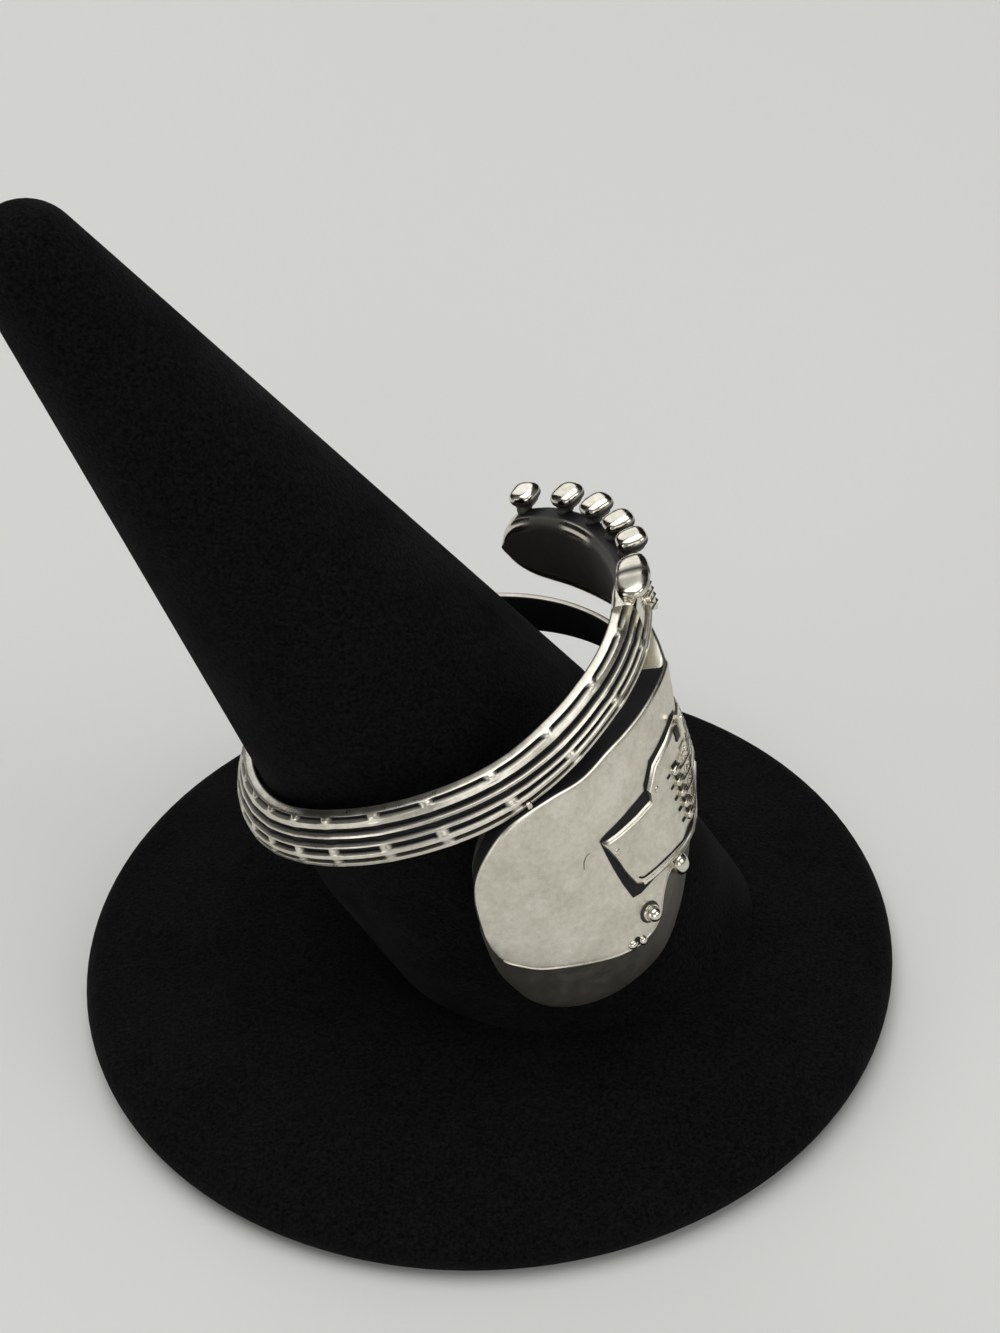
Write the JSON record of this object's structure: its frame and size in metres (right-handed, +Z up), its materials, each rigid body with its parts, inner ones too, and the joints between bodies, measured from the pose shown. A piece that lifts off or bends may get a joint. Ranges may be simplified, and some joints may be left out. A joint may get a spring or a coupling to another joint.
{
  "type": "guitar finger ring on cone display stand",
  "caption": "Open finger ring shaped as an electric guitar wrapped round the finger, set on a leaning velvet cone that rises from a round disc.",
  "frame": {"origin": "centre of the disc's flat underside, which rests on the table", "axes": "+Z up; the viewer stands on the -Y side and sees the guitar's body on the front of the ring; the cone leans towards -X"},
  "size_m": [0.045, 0.045, 0.0505],
  "materials": {
    "steel": "polished stainless steel with blackened recesses",
    "velvet": "short black velvet flock"
  },
  "bodies": {
    "root": {"ring": "steel", "stand_disc": "velvet", "stand_finger": "velvet"}
  },
  "joints": []
}
